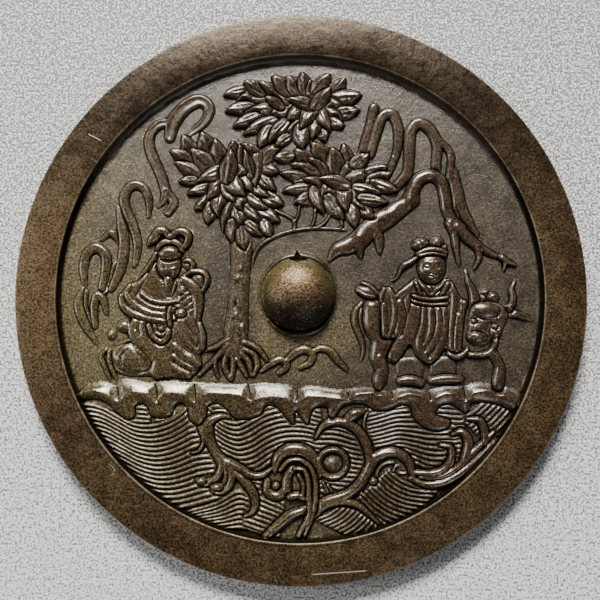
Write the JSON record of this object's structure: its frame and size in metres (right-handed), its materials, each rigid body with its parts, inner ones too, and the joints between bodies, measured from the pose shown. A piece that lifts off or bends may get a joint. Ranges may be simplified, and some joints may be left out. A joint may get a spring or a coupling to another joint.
{
  "type": "ancient bronze mirror",
  "caption": "Round cast bronze mirror lying face down: plain raised rim, pierced domed knob, and a relief of tree, seated figure, attendant with ox, bank and combed waves",
  "frame": {"origin": "middle of the flat polished face, which lies downwards", "axes": "+Z is the plate's axis, up out of the relief side; +Y points to the top of the scene, +X to its right"},
  "size_m": [0.21, 0.21, 0.015],
  "materials": {
    "bronze": "dark brown and olive patina, dull metallic sheen, worn brighter on the high relief"
  },
  "bodies": {
    "root": {"disc": "bronze", "knob": "bronze"}
  },
  "joints": []
}
